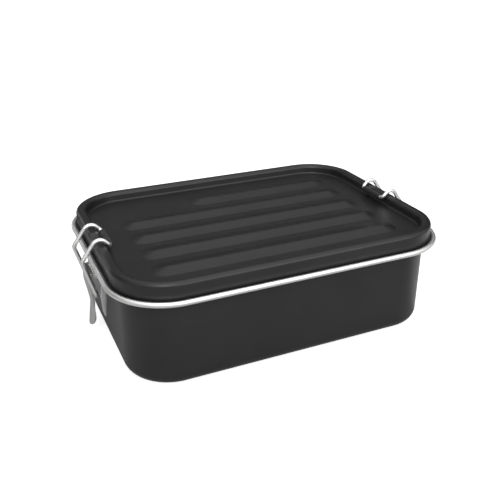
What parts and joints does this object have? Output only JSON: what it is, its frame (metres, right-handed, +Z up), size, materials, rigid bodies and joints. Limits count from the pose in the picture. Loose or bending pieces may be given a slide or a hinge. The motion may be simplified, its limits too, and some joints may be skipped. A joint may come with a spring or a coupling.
{
  "type": "metal lunch box",
  "caption": "Rectangular metal lunch box with rounded corners, a ribbed ridge-edged lid, a bright rim and an over-centre wire latch on each end.",
  "frame": {"origin": "centre of the base, on the surface the box stands on", "axes": "+X along the long side towards the right latch, +Y across away from the viewer, +Z up"},
  "size_m": [0.239, 0.1676, 0.0759],
  "materials": {
    "black_coat": "satin black powder coat on drawn steel",
    "bare_steel": "bright stainless steel, pressed or rolled",
    "bail_wire": "bright drawn stainless wire",
    "sleeve_silicone": "matt black silicone tube",
    "seal_silicone": "translucent silicone"
  },
  "bodies": {
    "tray": {"tray": "black_coat", "rim_ring": "bare_steel", "left_base_plate": "bare_steel", "left_lever_pin": "bare_steel", "right_base_plate": "bare_steel", "right_lever_pin": "bare_steel"},
    "lid": {"lid": "black_coat", "lid_seal": "seal_silicone"},
    "left_lever": {"left_lever": "bare_steel"},
    "left_bail": {"left_bail": "bail_wire", "left_bail_sleeve": "sleeve_silicone"},
    "right_lever": {"right_lever": "bare_steel"},
    "right_bail": {"right_bail": "bail_wire", "right_bail_sleeve": "sleeve_silicone"}
  },
  "joints": [
    {"name": "lid_lift", "type": "slide", "parent": "tray", "child": "lid", "axis": [0, 0, 1], "range_m": [0, 0.0003]},
    {"name": "left_lever_hinge", "type": "hinge", "parent": "tray", "child": "left_lever", "pos_m": [-0.1095, 0, 0.049], "axis": [0, 1, 0], "range_deg": [0, 105]},
    {"name": "left_bail_hinge", "type": "hinge", "parent": "left_lever", "child": "left_bail", "pos_m": [-0.111, 0, 0.0365], "axis": [0, 1, 0], "range_deg": [-63, 0]},
    {"name": "right_lever_hinge", "type": "hinge", "parent": "tray", "child": "right_lever", "pos_m": [0.1095, 0, 0.049], "axis": [0, -1, 0], "range_deg": [0, 105]},
    {"name": "right_bail_hinge", "type": "hinge", "parent": "right_lever", "child": "right_bail", "pos_m": [0.111, 0, 0.0365], "axis": [0, -1, 0], "range_deg": [-63, 0]}
  ],
  "couplings": [
    {"joint": "left_bail_hinge", "follows": "left_lever_hinge", "ratio": -0.6},
    {"joint": "right_bail_hinge", "follows": "right_lever_hinge", "ratio": -0.6}
  ]
}
